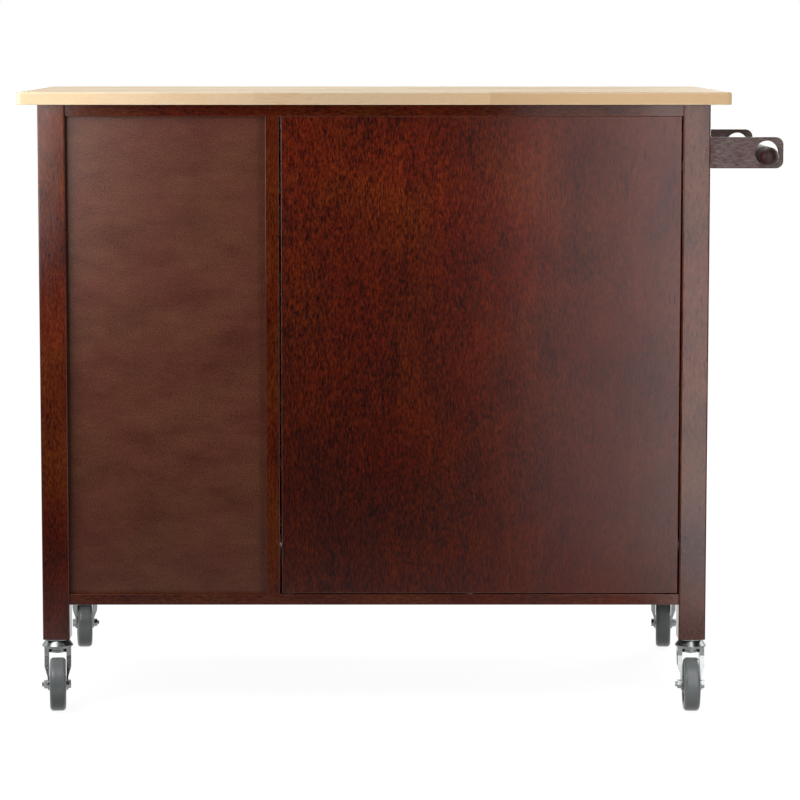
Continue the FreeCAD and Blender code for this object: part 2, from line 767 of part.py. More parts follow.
def caster_fork(with_brake):
    """Pressed fork: a dished crown that turns on the king pin and two side plates down to the axle."""
    half = fork_width / 2
    foot_top = crown_bottom + crown_foot_height
    outline = [(crown_bottom, 0), (crown_bottom, crown_foot_radius), (foot_top, crown_foot_radius),
               (foot_top, crown_neck_radius), (crown_bottom + crown_neck_height, crown_neck_radius),
               (crown_top - crown_rim_height, crown_radius), (crown_top, crown_radius), (crown_top, 0)]
    crown = turned(outline, V(0, 0, 0), Z)
    crown = crown.common(box(-half, half, -crown_radius, crown_radius, crown_bottom, crown_top))
    side = fork_side(with_brake)
    fork = crown.fuse([side, mirrored_x(side)])
    king_bore = rod(V(0, 0, crown_bottom - overrun), Z, king_pin_radius + axle_fit,
                    crown_height + 2 * overrun)
    fork = fork.cut(king_bore).cut(fork_drill(caster_trail, wheel_radius, axle_radius + axle_fit))
    if with_brake:
        pin_bore = fork_drill(brake_pivot_trail, brake_pivot_height, brake_pin_radius + axle_fit)
        fork = fork.cut(pin_bore)
    return fork.removeSplitter()


def caster_wheel():
    """Moulded wheel with rounded tread shoulders, recessed sides, a hub and an axle bore."""
    half = wheel_width / 2
    hub_half = fork_axle_width / 2 - fork_plate - running_gap
    rim_inner = wheel_radius - wheel_rim
    web = half - wheel_recess
    bore = axle_radius + axle_fit
    outline = [(-hub_half, bore), (-hub_half, wheel_hub_radius), (-web, wheel_hub_radius + wheel_recess),
               (-web, rim_inner - wheel_recess), (-half, rim_inner), (-half, wheel_radius),
               (half, wheel_radius), (half, rim_inner), (web, rim_inner - wheel_recess),
               (web, wheel_hub_radius + wheel_recess), (hub_half, wheel_hub_radius), (hub_half, bore)]
    wheel = turned(outline, V(0, caster_trail, wheel_radius), X)
    shoulders = []
    for edge in wheel.Edges:
        if edge.BoundBox.XLength < flat_limit and edge.BoundBox.ZMax > 2 * wheel_radius - flat_limit:
            shoulders.append(edge)
    return wheel.makeFillet(wheel_shoulder, shoulders)


def hexagon(x0, x1):
    """Hexagonal block about the axle between two places along it."""
    corner = axle_hex_flats / 2 / math.cos(math.radians(30))
    points = []
    for step in range(6):
        angle = math.radians(60 * step)
        points.append(V((x0 + x1) / 2, caster_trail + corner * math.cos(angle),
                        wheel_radius + corner * math.sin(angle)))
    return prism(points, X, (x1 - x0) / 2)


def caster_axle():
    """Axle bolt across the fork and its nut."""
    outer = fork_axle_width / 2
    nut_end = outer + axle_nut_height
    centre = V(0, caster_trail, wheel_radius)
    shank = rod(centre - X * outer, X, axle_radius, outer + nut_end + axle_bolt_overrun)
    bolt = hexagon(-outer - axle_head_height, -outer).fuse(shank)
    nut = hexagon(outer, nut_end).cut(rod(centre, X, axle_radius + axle_fit, nut_end + overrun))
    return [bolt, nut]


def brake_lever():
    """Foot lever with a brake shoe over the tread, and the pin that it turns on."""
    half = brake_lever_width / 2
    pivot = V(0, brake_pivot_trail, brake_pivot_height)
    tip = pivot + Y * brake_pedal_length - Z * brake_pedal_drop
    lip = tip + Y * brake_lip_length + Z * brake_lip_rise
    thick = Z * brake_plate
    slope = brake_pedal_drop / brake_pedal_length
    clear = brake_ear_radius + brake_pedal_gap
    heel = pivot + Y * clear - Z * clear * slope
    arm = prism([pivot + thick / 2, tip + thick / 2, tip - thick / 2, pivot - thick / 2], X, half)
    pedal = prism([heel + thick / 2, tip + thick / 2, lip + thick / 2, lip - thick / 2,
                   tip - thick / 2, heel - thick / 2], X, brake_pedal_width / 2)
    lever = arm.fuse([pedal, rod(pivot - X * half, X, brake_tube_radius, brake_lever_width)])
    shoe_y = brake_shoe_trail
    plate_z = brake_pivot_height - slope * (shoe_y - brake_pivot_trail)
    tread_z = wheel_radius + math.sqrt((wheel_radius + brake_shoe_gap) ** 2 - (shoe_y - caster_trail) ** 2)
    lever = lever.fuse(box(-half, half, shoe_y - brake_shoe_width / 2, shoe_y + brake_shoe_width / 2,
                           tread_z, plate_z))
    bore = rod(pivot - X * fork_width, X, brake_pin_radius + axle_fit, 2 * fork_width)
    lever = lever.cut(bore)
    end = fork_axle_width / 2
    head = brake_pin_head_height
    outline = [(-end - head, 0), (-end - head, brake_pin_head_radius), (-end, brake_pin_head_radius),
               (-end, brake_pin_radius), (end, brake_pin_radius), (end, brake_pin_head_radius),
               (end + head, brake_pin_head_radius), (end + head, 0)]
    pin = turned(outline, pivot, X)
    return [lever.removeSplitter(), pin]


def casters():
    """Four swivel casters; the front two have brakes."""
    corners = [("back_right", 1, 1, back_right_heading_deg), ("back_left", -1, 1, back_left_heading_deg),
               ("front_right", 1, -1, front_right_heading_deg),
               ("front_left", -1, -1, front_left_heading_deg)]
    stems = []
    for name, side_x, side_y, heading in corners:
        place = V(side_x * (half_length - leg_side / 2), side_y * (half_depth - leg_side / 2), 0)
        placement = FreeCAD.Placement(place, FreeCAD.Rotation(Z, heading))
        with_brake = side_y < 0
        stems.append(caster_stem().translated(place))
        groups = {"fork": [caster_fork(with_brake)], "axle": caster_axle(), "wheel": [caster_wheel()]}
        if with_brake:
            groups["brake_lever"] = brake_lever()
        for word, solids in groups.items():
            keep("caster_%s_%s" % (name, word), [solid.transformed(placement.Matrix) for solid in solids])
    keep("caster_stems", stems)


def origin_shift():
    """Move that brings the origin to the floor under the middle of the whole cart's box."""
    everything = Part.makeCompound([solid for solids in pieces.values() for solid in solids])
    around = everything.optimalBoundingBox(False)
    print("size %.3f x %.3f x %.3f" % (around.XLength, around.YLength, around.ZLength))
    return V(-around.Center.x, -around.Center.y, 0)


def write_parts():
    """Write each piece to its own file, with the shared origin."""
    shift = origin_shift()
    os.makedirs("parts", exist_ok=True)
    for name, solids in pieces.items():
        moved = [solid.translated(shift) for solid in solids]
        shape = moved[0] if len(moved) == 1 else Part.makeCompound(moved)
        shape.exportStep("parts/%s.step" % name)


worktop()
legs()
uprights()
level_boards()
back_panels()
shelves()
runners()
drawers()
doors()
towel_bar()
casters()
write_parts()
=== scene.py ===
import math
import bpy
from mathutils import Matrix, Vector


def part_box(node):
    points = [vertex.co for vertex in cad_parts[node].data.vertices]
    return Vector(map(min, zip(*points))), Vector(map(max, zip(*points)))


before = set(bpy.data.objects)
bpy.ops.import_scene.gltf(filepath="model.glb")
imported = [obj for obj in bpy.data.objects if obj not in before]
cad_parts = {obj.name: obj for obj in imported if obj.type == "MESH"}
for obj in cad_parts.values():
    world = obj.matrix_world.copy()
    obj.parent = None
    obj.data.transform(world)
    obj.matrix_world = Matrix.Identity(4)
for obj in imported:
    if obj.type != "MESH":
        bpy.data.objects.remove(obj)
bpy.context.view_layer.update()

# Lengths are in metres where no comment says otherwise. Tones are linear red, green and blue.
MM = 0.001

# The worktop's middle is also the middle of the frame under it. Other places are measured from it, or
# from the floor under it.
top_low, top_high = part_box("worktop")
MIDDLE = (top_low + top_high) / 2
FLOOR_MIDDLE = MIDDLE.xy.to_3d()

# Camera behind the cart, a little above the worktop. Its lens and sensor are in millimetres.
CAMERA_ASIDE = -0.0013
CAMERA_AWAY = 4.5585
CAMERA_HEIGHT = 0.9495
CAMERA_PITCH_DEG = 5.965
CAMERA_LENS = 140.19
CAMERA_SENSOR = 36.0
CAMERA_SHIFT = (0.03125, -0.05)
CAMERA_SIGHT = 200.0

# Glued staves of the worktop: their size, the place of a joint in the back row, and how far each row is
# shifted against the one before it, as a share of a stave
STAVE_LENGTH = 326.1 * MM
STAVE_ROWS = 12
STAVE_WIDTH = (top_high.y - top_low.y) / STAVE_ROWS
STAVE_JOINT_X = MIDDLE.x + 165.8 * MM
STAVE_ROW_SHARE = 0.618
# The rows reach a little past both long edges, so that no sliver of another row shows there
STAVE_EARLY = 0.1 * MM
STAVE_SWELL_SHARE = 1.0005
# Number of the stave at the back row's joint. It keeps the columns' numbers above zero.
STAVE_COLUMN = 20.0
# Tints are drawn by chance, from a seed and up to a limit, but the back row goes from light to dark,
# stave by stave
STAVE_SEED = 3.0
STAVE_TINT_LIMIT = 0.5
STAVE_TINT_STEP = 0.42
# Staves are cut from places that lie up to this far apart
STAVE_APART = 5.0

# Width of the doors' stiles and rails, and how far the mask of a rail reaches past it
DOOR_STILE_WIDTH = 52 * MM
DOOR_RAIL_OVER = 1.0 * MM

# Noises: bumps in a metre along X, Y and Z, detail, roughness and distortion. Wood is laid with its
# grain along Z. The bumps of both kinds of speckle are counted in one mark instead of a metre.
NOISES = {
    "bend": ((4, 4, 1.4), 2.0, 0.5, 0.0),
    "figure": ((12, 12, 8), 5.0, 0.6, 0.3),
    "broad_streaks": ((70, 70, 6), 3.0, 0.6, 0.0),
    "fine_streaks": ((480, 480, 120), 3.0, 0.75, 0.0),
    "pores": ((330, 330, 60), 3.0, 0.6, 0.0),
    "pore_patches": ((6, 6, 4), 2.0, 0.55, 0.0),
    "ripple": ((40, 40, 26), 2.0, 0.55, 0.0),
    "stain_drift": ((9, 9, 7), 2.0, 0.55, 0.0),
    "edge_breakup": ((90, 90, 90), 3.0, 0.55, 0.0),
    "back_board_bands": ((15, 15, 34), 6.0, 0.72, 0.0),
    "back_board_drift": ((10, 10, 14), 4.0, 0.55, 0.0),
    "cloud": ((11, 11, 17.6), 4.0, 0.6, 0.0),
    "speckle": ((1, 1, 1), 3.0, 0.7, 0.0),
    "speckle_relief": ((2.3, 2.3, 2.3), 2.0, 0.6, 0.0),
}
# Middle value of every noise, which mostly stays between 0.3 and 0.7
NOISE_MIDDLE = 0.5

# Smooth steps: the values at which a step starts and ends, and what it gives there
STEPS = {
    "edge_wear_and_painted_light": (1.0, 0.35, 0.0, 1.0),
    "pore_patches": (0.38, 0.62, 0.2, 1.0),
    "pores": (0.55, 0.70, 0.0, 1.0),
    "glue_joint": (0.5 * MM, 0.15 * MM, 0.0, 1.0),
    "end_grain": (0.75, 0.9, 0.0, 1.0),
    "stain_drift": (0.35, 0.65, 0.82, 1.2),
    "back_board_drift": (0.35, 0.65, 0.92, 1.10),
    "back_board_rough": (0.2, 0.8, 0.28, 0.36),
    "clear_figure": (0.3, 0.7, 0.0, 1.0),
    "clear_streaks": (0.45, 0.75, 0.0, 0.8),
    "stave_tint": (0.1, 0.9, 0.0, 0.85),
    "coat_wear": (0.2, 0.8, -0.03, 0.12),
    "coat_facing_up": (0.3, 0.9, 0.1, 1.0),
    "metal_dull": (0.3, 0.7, 0.0, 1.0),
    "metal_pits": (0.58, 0.8, 0.0, 0.6),
    "metal_rough": (0.45, 0.8, 0.0, 0.10),
    "moulded_worn": (0.35, 0.7, 0.0, 1.0),
    "moulded_dust": (0.55, 0.8, 0.0, 0.5),
    "moulded_rough": (0.2, 0.8, -0.08, 0.10),
    "paper_glow": (1.2, 4.0, 0.93, 1.0),
    "paper_mirrored": (0.5, 1.3, 1.0, 0.04),
    "room_mirrored": (-0.6, -0.2, 1.0, 0.05),
}

# Shares of the broad and the fine streaks in the wood's grain, and how much the reach of the edges' tone
# varies. That tone is partly rubbed wear, with a painted highlight on lighter edges and painted shade on
# darker ones.
BROAD_SHARE = 0.12
FINE_SHARE = 0.88
EDGE_BREAKUP_SWING = 2.4

# Relief of wood in millimetres, and of other surfaces in metres
WOOD_RELIEF = {"ripple": 0.16, "streaks": 0.03, "pores": 0.03, "joints": 0.06}
BACK_BOARD_RELIEF = 0.08 * MM
METAL_RELIEF = 0.015 * MM
MOULDED_RELIEF = 0.04 * MM

# How strongly each finish bends and reflects light, and how rough the worktop's coat is, as the
# shader's own levels
WOOD_IOR = 1.5
MOULDED_IOR = 1.47
SATIN_REFLECTION = 0.385
CLEAR_REFLECTION = 0.2
COAT_ROUGHNESS = 0.36

# Stained wood: how much pores and cut ends darken it, how strongly the tone of its edges shows and how
# far it reaches (rubbed stain with painted edge highlights and painted edge shade), and how its
# roughness falls with the figure and rises in the pores
STAIN_PORES = 0.5
STAIN_ENDS = 0.3
STAIN_EDGE = 0.5
STAIN_EDGE_REACH = 1.4 * MM
STAIN_SHEEN = 0.12
STAIN_PORE_ROUGHNESS = 0.08
# The stain's green and blue grow by this power of its level, and the level stays above a least value
STAIN_POWER = 1.5
STAIN_LEAST = 0.15
# A piece's grain is shifted by its low corner times these, so that no two pieces look alike
STAIN_SHIFT = (7, 5, 3)

# Darker and lighter places of the wide back panel, from the floor under the worktop's middle: middle,
# radius, and share by which its tone changes. They are partly stain blotches and partly painted light:
# lighter high in the middle and at the upper right, and darker low in the middle, as painted shade where
# less light falls.
VENEER_STAIN_AND_LIGHT_SPOTS = (
    ((0.05, 0.22, 0.28), 0.34, -0.38),
    ((-0.20, 0.22, 0.74), 0.26, 0.26),
    ((-0.02, 0.22, 0.76), 0.18, 0.20),
)
# The veneer's streaks fade to a share of their strength from the second place across the panel to the
# first
VENEER_FADE = (-0.36, 0.06, 0.4)

# Stained finishes: tone, the tone of the edges, roughness, and how strongly figure and streaks show. The
# edges' tone is lighter rubbed stain with a painted highlight on most finishes, and painted shade on the
# rounded edges of the back legs and the brackets. How far the grain wanders, its lighter and darker
# spots (stain blotches with painted light and shade) and where it fades are as USUAL unless a finish
# says otherwise.
USUAL = dict(wander=0.03, stain_and_light_spots=(), fade=None)
STAINED = {
    "back_leg": dict(tone=(0.084, 0.0129, 0.0031), edge=(0.018, 0.0030, 0.0015), roughness=0.18,
                     figure=2.2, streaks=3.4),
    "frame": dict(tone=(0.075, 0.0108, 0.0020), edge=(0.10, 0.023, 0.010), roughness=0.18,
                  figure=1.4, streaks=4.0),
    "front_leg": dict(tone=(0.070, 0.0150, 0.0066), edge=(0.10, 0.030, 0.016), roughness=0.55,
                      figure=1.4, streaks=4.0),
    "board": dict(tone=(0.070, 0.0150, 0.0066), edge=(0.10, 0.030, 0.016), roughness=0.34,
                  figure=1.4, streaks=4.0),
    "veneer": dict(tone=(0.0685, 0.0061, 0.0007), edge=(0.15, 0.050, 0.030), roughness=0.28,
                   figure=1.8, streaks=7.5, wander=0.07, stain_and_light_spots=VENEER_STAIN_AND_LIGHT_SPOTS, fade=VENEER_FADE),
    "bracket": dict(tone=(0.128, 0.077, 0.076), edge=(0.012, 0.007, 0.006), roughness=0.62,
                    figure=0.6, streaks=3.0),
    "dowel": dict(tone=(0.030, 0.0060, 0.004), edge=(0.03, 0.008, 0.006), roughness=0.52,
                  figure=0.5, streaks=1.2),
}

# Stained pieces by finish, each with the axis of its grain. A framed door's grain follows its stiles
# and rails.
STAINED_PIECES = {
    "back_leg": {"leg_back_left": "Z", "leg_back_right": "Z"},
    "frame": {"partition": "Z", "bottom_board": "X", "top_stretcher_back": "X"},
    "front_leg": {"leg_front_left": "Z", "leg_front_right": "Z"},
    "board": {
        "side_panel_left": "Z", "side_panel_right": "Z", "top_stretcher_front": "X", "drawer_rail": "X",
        "shelf_bay_top_board": "X", "cupboard_shelf": "X", "shelf_bay_shelves": "X",
        "wide_drawer_front": "X", "narrow_drawer_front": "X", "left_door_panel": "Z",
        "right_door_panel": "Z", "left_door_frame": "framed", "right_door_frame": "framed",
    },
    "veneer": {"wide_back_panel": "Z"},
    "bracket": {"towel_bar_bracket_back": "X", "towel_bar_bracket_front": "X"},
    "dowel": {"towel_bar": "Y"},
}

# Thin back board: tone, size of its speckle, and how strongly its bands and its speckle show
BACK_BOARD_TONE = (0.094, 0.0264, 0.0142)
BACK_BOARD_SPECKLE_SIZE = 1.7 * MM
BACK_BOARD_BANDS = 1.3
BACK_BOARD_SPECKLE = 3.6

# Clear-finished wood: how far its grain wanders, how strongly the tones of its pores, glue joints, cut
# ends and lighter edges show (the edges partly rubbed wear, partly a painted highlight), how far the
# edges reach, and how its roughness rises with the streaks
CLEAR_WANDER = 0.02
CLEAR_PORES = 0.45
CLEAR_JOINTS = 0.55
CLEAR_ENDS = 0.4
CLEAR_EDGE = 0.35
CLEAR_EDGE_REACH = 1.8 * MM
CLEAR_STREAK_ROUGHNESS = 0.16

# Tones of clear-finished wood: its body, its light figure, its streaks and its pores. A dark stave has
# shares of the streaks' tone.
WORKTOP_TONES = ((0.84, 0.64, 0.40), (0.90, 0.75, 0.53), (0.78, 0.55, 0.32), (0.52, 0.33, 0.18))
DRAWER_TONES = ((0.60, 0.44, 0.26), (0.68, 0.52, 0.33), (0.50, 0.34, 0.19), (0.34, 0.21, 0.11))
DARK_STAVE_SHARES = (0.72, 0.68, 0.60)
WORKTOP_ROUGHNESS = 0.55
DRAWER_ROUGHNESS = 0.5

# Pieces of the drawers' boxes, each with the axis of its grain
DRAWER_PIECES = {
    "wide_drawer_sides": "Y", "narrow_drawer_sides": "Y", "wide_drawer_back": "X",
    "narrow_drawer_back": "X", "wide_drawer_bottom": "X", "narrow_drawer_bottom": "X",
    "drawer_runners": "Y",
}

# A pit in metal has a share of the dull places' tone, and metal gets rougher with its fine relief. Dust
# on plastic and rubber is lighter than their worn places.
PIT_SHARE = 0.55
METAL_SWING = 0.16
DUST_SHARE = 1.35

# White sweep and dim room: the paper's reach and own tone, and the room's light
PAPER_REACH = 60.0
PAPER_TONE = 0.14
ROOM_LIGHT = 0.052
WHITE = (1, 1, 1)

# Soft lamps: place, aim, width and height, and watts. Places are measured from the floor under the
# worktop's middle.
LAMPS = {
    "lamp_right": ((-0.563, 0.783, 0.612), (-0.3, 0.2, 0.5), (0.271, 1.285), 3.0),
    "lamp_right_wide": ((-0.397, 0.711, 0.663), (-0.3, 0.2, 0.5), (0.333, 1.216), 1.5),
    "lamp_left": ((0.790, 0.7075, 0.892), (0.35, 0.2, 0.6), (0.753, 0.689), 8.9),
    "lamp_over_back": ((0.07, 1.03, 2.62), (0.0, 0.2, 0.6), (1.4, 1.0), 2.5),
    "lamp_top": ((0.3, -1.1, 2.4), (0.0, -0.1, 0.7), (1.8, 1.2), 22),
    "lamp_front": ((-1.5, -2.4, 1.3), (0.0, -0.2, 0.5), (1.4, 1.4), 52),
    "lamp_bar_side": ((-2.6, -0.5, 1.2), (-0.5, 0.0, 0.5), (1.4, 1.4), 18),
    "lamp_shelf_side": ((2.6, -0.5, 1.2), (0.5, 0.0, 0.5), (1.4, 1.4), 8),
}

# Numbers of a mix node's sockets: both sides and the result, by what it mixes
MIX_SOCKETS = {"FLOAT": (2, 3, 0), "VECTOR": (4, 5, 1), "RGBA": (6, 7, 2)}


def feed(tree, sockets, inputs):
    """Give sockets, by name or number, a value, a tone or a link from the socket that feeds them."""
    for key, value in inputs.items():
        if isinstance(value, bpy.types.NodeSocket):
            tree.links.new(value, sockets[key])
        elif sockets[key].type == "RGBA":
            sockets[key].default_value = (*value, 1)
        else:
            sockets[key].default_value = value


def node(tree, kind, inputs=None, **settings):
    """New node with its settings, fed by its inputs."""
    made = tree.nodes.new(kind)
    for key, value in settings.items():
        setattr(made, key, value)
    feed(tree, made.inputs, inputs or {})
    return made


def calc(tree, operation, a, b=0.0, c=0.0):
    """Result of one sum on values or sockets."""
    return node(tree, "ShaderNodeMath", {0: a, 1: b, 2: c}, operation=operation).outputs[0]


def vector_calc(tree, operation, a, b=(0.0, 0.0, 0.0)):
    """Result of one sum on vectors."""
    made = node(tree, "ShaderNodeVectorMath", {0: a, 1: b}, operation=operation)
    return made.outputs["Value" if operation == "LENGTH" else "Vector"]


def scaled(tree, vector, size):
    """Vector made longer or shorter."""
    return node(tree, "ShaderNodeVectorMath", {0: vector, "Scale": size}, operation="SCALE").outputs[0]


def parts(tree, vector):
    """X, Y and Z of a vector."""
    return node(tree, "ShaderNodeSeparateXYZ", {0: vector}).outputs


def joined(tree, x, y, z):
    """Vector made of X, Y and Z."""
    return node(tree, "ShaderNodeCombineXYZ", {0: x, 1: y, 2: z}).outputs[0]


def rise(tree, value, low, high, out_low, out_high):
    """Smooth step of a value from out_low at low to out_high at high."""
    return node(tree, "ShaderNodeMapRange", {0: value, 1: low, 2: high, 3: out_low, 4: out_high},
                interpolation_type="SMOOTHSTEP").outputs[0]


def step(tree, value, kind):
    """One of the named smooth steps."""
    return rise(tree, value, *STEPS[kind])


def mixed(tree, share, a, b, kind="RGBA", mode="MIX"):
    """Tone, vector or value b laid over a by a share."""
    first, second, result = MIX_SOCKETS[kind]
    return node(tree, "ShaderNodeMix", {0: share, first: a, second: b},
                data_type=kind, blend_type=mode).outputs[result]


def noise(tree, place, kind, scale=1.0):
    """Outputs of one of the named noises, laid on a place; scale packs its bumps closer."""
    bumps, detail, roughness, distortion = NOISES[kind]
    return node(tree, "ShaderNodeTexNoise",
                {"Vector": vector_calc(tree, "MULTIPLY", place, bumps), "Scale": scale,
                 "Detail": detail, "Roughness": roughness, "Distortion": distortion}).outputs


def covered(tree, body, tone, mask, strength):
    """Body with a tone laid over it under a mask, at some strength."""
    return mixed(tree, calc(tree, "MULTIPLY", mask, strength), body, tone)


def swayed(tree, value, swing, middle):
    """Middle value moved up and down as a noise goes above and below its own middle."""
    return calc(tree, "MULTIPLY_ADD", calc(tree, "SUBTRACT", value, NOISE_MIDDLE), swing, middle)


def dimmed(tree, mask, share):
    """Level of 1 that falls by a share under a mask."""
    return calc(tree, "MULTIPLY_ADD", mask, -share, 1.0)


def group(name, inputs, outputs):
    """New shader group with named sockets: its tree, what comes in and where it goes out."""
    tree = bpy.data.node_groups.new(name, "ShaderNodeTree")
    kinds = {"value": "NodeSocketFloat", "vector": "NodeSocketVector"}
    for way, sockets in (("INPUT", inputs), ("OUTPUT", outputs)):
        for label, kind in sockets.items():
            tree.interface.new_socket(label, in_out=way, socket_type=kinds[kind])
    return tree, tree.nodes.new("NodeGroupInput").outputs, tree.nodes.new("NodeGroupOutput").inputs


def placed(tree, made_group, **inputs):
    """Outputs of a group laid into a material with its own values."""
    return node(tree, "ShaderNodeGroup", inputs, node_tree=made_group).outputs


def board_edges():
    """Mask of a board's edges, from its two opposite corners, broken up by a noise. It places rubbed
    wear together with painted edge highlights and painted edge shade.
    """
    tree, given, out = group("Board edges",
                             {"Place": "vector", "Low": "vector", "High": "vector", "Reach": "value"},
                             {"Edge": "value"})
    below = vector_calc(tree, "ABSOLUTE", vector_calc(tree, "SUBTRACT", given["Place"], given["Low"]))
    above = vector_calc(tree, "ABSOLUTE", vector_calc(tree, "SUBTRACT", given["High"], given["Place"]))
    near = parts(tree, vector_calc(tree, "MINIMUM", below, above))
    least = calc(tree, "MINIMUM", near[0], near[1])
    most = calc(tree, "MAXIMUM", near[0], near[1])
    second = calc(tree, "MAXIMUM", least, calc(tree, "MINIMUM", most, near[2]))
    edge_breakup = noise(tree, given["Place"], "edge_breakup")["Fac"]
    reach = calc(tree, "MULTIPLY", given["Reach"], swayed(tree, edge_breakup, EDGE_BREAKUP_SWING, 1.0))
    feed(tree, out, {"Edge": step(tree, calc(tree, "DIVIDE", second, reach), "edge_wear_and_painted_light")})
    return tree


def wood_grain():
    """Grain along the place's Z: slow figure, fine streaks, open pores, and relief in millimetres."""
    tree, given, out = group("Wood grain", {"Place": "vector", "Wander": "value"},
                             {"Figure": "value", "Streaks": "value", "Pores": "value",
                              "Relief": "value"})
    bend = noise(tree, given["Place"], "bend")["Color"]
    off = vector_calc(tree, "SUBTRACT", bend, (NOISE_MIDDLE,) * 3)
    bent = vector_calc(tree, "ADD", given["Place"], scaled(tree, off, given["Wander"]))
    figure, broad, fine, pores, patches, ripple = (
        noise(tree, bent, kind)["Fac"]
        for kind in ("figure", "broad_streaks", "fine_streaks", "pores", "pore_patches", "ripple"))
    open_pores = calc(tree, "MULTIPLY", step(tree, pores, "pores"), step(tree, patches, "pore_patches"))
    streaks = calc(tree, "MULTIPLY_ADD", broad, BROAD_SHARE, calc(tree, "MULTIPLY", fine, FINE_SHARE))
    relief = calc(tree, "MULTIPLY_ADD", ripple, WOOD_RELIEF["ripple"],
                  calc(tree, "MULTIPLY", fine, WOOD_RELIEF["streaks"]))
    relief = calc(tree, "MULTIPLY_ADD", open_pores, -WOOD_RELIEF["pores"], relief)
    feed(tree, out, {"Figure": figure, "Streaks": streaks, "Pores": open_pores, "Relief": relief})
    return tree


def staves():
    """Pattern of glued staves in rows along X: a tint and an offset for each, and the glue joints."""
    tree, given, out = group("Glued staves", {"Place": "vector"},
                             {"Tint": "value", "Offset": "vector", "Joint": "value"})
    at = parts(tree, given["Place"])
    last_row = STAVE_ROWS - 1
    across = calc(tree, "DIVIDE", calc(tree, "SUBTRACT", at[1], top_low.y - STAVE_EARLY),
                  STAVE_WIDTH * STAVE_SWELL_SHARE)
    row = calc(tree, "FLOOR", across)
    shift = calc(tree, "MULTIPLY_ADD", row, STAVE_ROW_SHARE, STAVE_COLUMN - last_row * STAVE_ROW_SHARE)
    from_joint = calc(tree, "SUBTRACT", at[0], STAVE_JOINT_X)
    along = calc(tree, "ADD", calc(tree, "DIVIDE", from_joint, STAVE_LENGTH), shift)
    column = calc(tree, "FLOOR", along)
    chance = node(tree, "ShaderNodeTexWhiteNoise", {"Vector": joined(tree, row, column, STAVE_SEED)},
                  noise_dimensions="3D").outputs
    gaps = []
    for value, size in ((across, STAVE_WIDTH), (along, STAVE_LENGTH)):
        part = calc(tree, "FRACT", value)
        near = calc(tree, "MINIMUM", part, calc(tree, "SUBTRACT", 1.0, part))
        gaps.append(calc(tree, "MULTIPLY", near, size))
    joint = step(tree, calc(tree, "MINIMUM", *gaps), "glue_joint")
    stepped = calc(tree, "MULTIPLY_ADD", column, -STAVE_TINT_STEP, STAVE_COLUMN * STAVE_TINT_STEP)
    drawn = calc(tree, "MULTIPLY", chance["Value"], STAVE_TINT_LIMIT)
    in_back_row = calc(tree, "GREATER_THAN", row, last_row - 0.5)
    feed(tree, out, {"Tint": mixed(tree, in_back_row, drawn, stepped, "FLOAT"),
                     "Offset": scaled(tree, chance["Color"], STAVE_APART), "Joint": joint})
    return tree


def flecks():
    """Fine speckle and slow cloud for boards, metal, plastic and rubber."""
    tree, given, out = group("Flecks", {"Place": "vector", "Size": "value"},
                             {"Speckle": "value", "Cloud": "value", "Height": "value"})
    per_metre = calc(tree, "DIVIDE", 1.0, given["Size"])
    feed(tree, out, {"Speckle": noise(tree, given["Place"], "speckle", per_metre)["Fac"],
                     "Cloud": noise(tree, given["Place"], "cloud")["Fac"],
                     "Height": noise(tree, given["Place"], "speckle_relief", per_metre)["Fac"]})
    return tree


EDGES = board_edges()
GRAIN = wood_grain()
STAVES = staves()
FLECKS = flecks()


def emptied(owner):
    """Node tree of a material or a world, without nodes."""
    owner.use_nodes = True
    owner.node_tree.nodes.clear()
    return owner.node_tree


def fresh(name, **constants):
    """New material with one shader; constants go on the shader's own sockets."""
    material = bpy.data.materials.new(name)
    tree = emptied(material)
    shader = node(tree, "ShaderNodeBsdfPrincipled",
                  {label.replace("_", " "): value for label, value in constants.items()})
    node(tree, "ShaderNodeOutputMaterial", {"Surface": shader.outputs[0]})
    return material, tree, shader


def object_place(tree):
    """Place on the piece, in the shared frame, and the direction that its surface faces."""
    made = tree.nodes.new("ShaderNodeTexCoord")
    return made.outputs["Object"], made.outputs["Normal"]


def surface(tree, shader, tone, roughness, height, depth):
    """Give a shader its tone, its roughness and fine relief of the given depth."""
    relief = node(tree, "ShaderNodeBump", {"Height": height, "Distance": depth}).outputs[0]
    feed(tree, shader.inputs, {"Base Color": tone, "Roughness": roughness, "Normal": relief})


def swapped(tree, place, axis):
    """Place with the grain's axis put on Z."""
    if axis == "Z":
        return place
    order = {"X": (2, 1, 0), "Y": (0, 2, 1)}[axis]
    at = parts(tree, place)
    return joined(tree, *(at[i] for i in order))


def end_grain(tree, facing, axis):
    """Mask of the faces that cut across the grain."""
    toward = parts(tree, facing)["XYZ".index(axis)]
    return step(tree, calc(tree, "ABSOLUTE", toward), "end_grain")


def spot(tree, place, centre, radius, share):
    """Level about 1 that is higher or lower by a share round a place, fading out over a radius."""
    away = vector_calc(tree, "LENGTH", vector_calc(tree, "SUBTRACT", place, centre))
    return rise(tree, away, 0.0, radius, 1.0 + share, 1.0)


def toned(tree, tone, level, warmth):
    """Tone made darker or lighter by a level, and browner where the warmth is above 1."""
    deeper = calc(tree, "POWER", level, STAIN_POWER)
    brown = calc(tree, "MULTIPLY", deeper, warmth)
    tint = node(tree, "ShaderNodeCombineColor", {0: level, 1: brown, 2: deeper}).outputs[0]
    return mixed(tree, 1.0, tone, tint, mode="MULTIPLY")


def grain_level(tree, grain, figure, streaks):
    """How light stained wood is, about 1, from how strongly its figure and streaks show."""
    level = swayed(tree, grain["Figure"], figure, 1.0)
    level = swayed(tree, grain["Streaks"], streaks, level)
    level = calc(tree, "MULTIPLY", level, dimmed(tree, grain["Pores"], STAIN_PORES))
    return calc(tree, "MAXIMUM", level, STAIN_LEAST)


